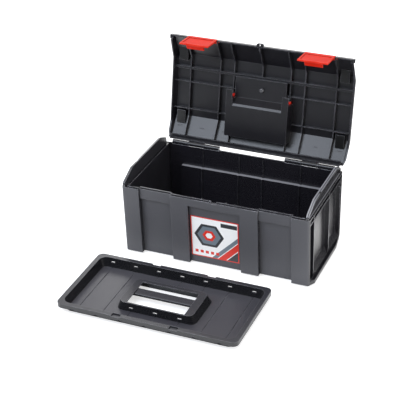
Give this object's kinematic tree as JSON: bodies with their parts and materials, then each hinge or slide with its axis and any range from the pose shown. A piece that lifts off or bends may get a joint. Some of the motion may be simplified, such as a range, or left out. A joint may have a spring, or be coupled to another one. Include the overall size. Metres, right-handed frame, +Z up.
{
  "type": "tool box",
  "caption": "Moulded plastic tool box with a hinged ribbed lid, draw latches, a folding carry handle and a lift-out tray with a grip bar.",
  "frame": {"origin": "middle of the tub's underside, on the floor", "axes": "+X along the box to the right as seen from the front, -Y to the front, +Z up; the lid stands open and the tray lies in front"},
  "size_m": [0.4398, 0.5452, 0.3905],
  "materials": {
    "dark_plastic": "fine moulded texture, satin",
    "red_plastic": "smooth, slightly glossy",
    "steel": "plain rod",
    "label_print": "printed sticker"
  },
  "bodies": {
    "tub": {"tub": "dark_plastic", "hinge_pin_left": "steel", "hinge_pin_right": "steel", "front_label": "label_print"},
    "lid": {"lid": "dark_plastic"},
    "latch_left": {"latch_left": "red_plastic"},
    "latch_right": {"latch_right": "red_plastic"},
    "handle": {"carry_handle": "red_plastic"},
    "tray": {"tray": "dark_plastic"}
  },
  "joints": [
    {"name": "lid_hinge", "type": "hinge", "parent": "tub", "child": "lid", "pos_m": [0, 0.11, 0.158], "axis": [1, 0, 0], "range_deg": [0, 101]},
    {"name": "latch_left_hinge", "type": "hinge", "parent": "lid", "child": "latch_left", "pos_m": [-0.1285, 0.16332, 0.3799], "axis": [-1, 0, 0], "range_deg": [-6.5, 95]},
    {"name": "latch_right_hinge", "type": "hinge", "parent": "lid", "child": "latch_right", "pos_m": [0.1285, 0.16332, 0.3799], "axis": [-1, 0, 0], "range_deg": [-6.5, 95]},
    {"name": "handle_fold", "type": "hinge", "parent": "lid", "child": "handle", "pos_m": [0, 0.1672, 0.26098], "axis": [1, 0, 0], "range_deg": [-11, 79]},
    {"name": "tray_lift", "type": "slide", "parent": "tub", "child": "tray", "axis": [0, 0, 1], "range_m": [0, 0.25]}
  ]
}
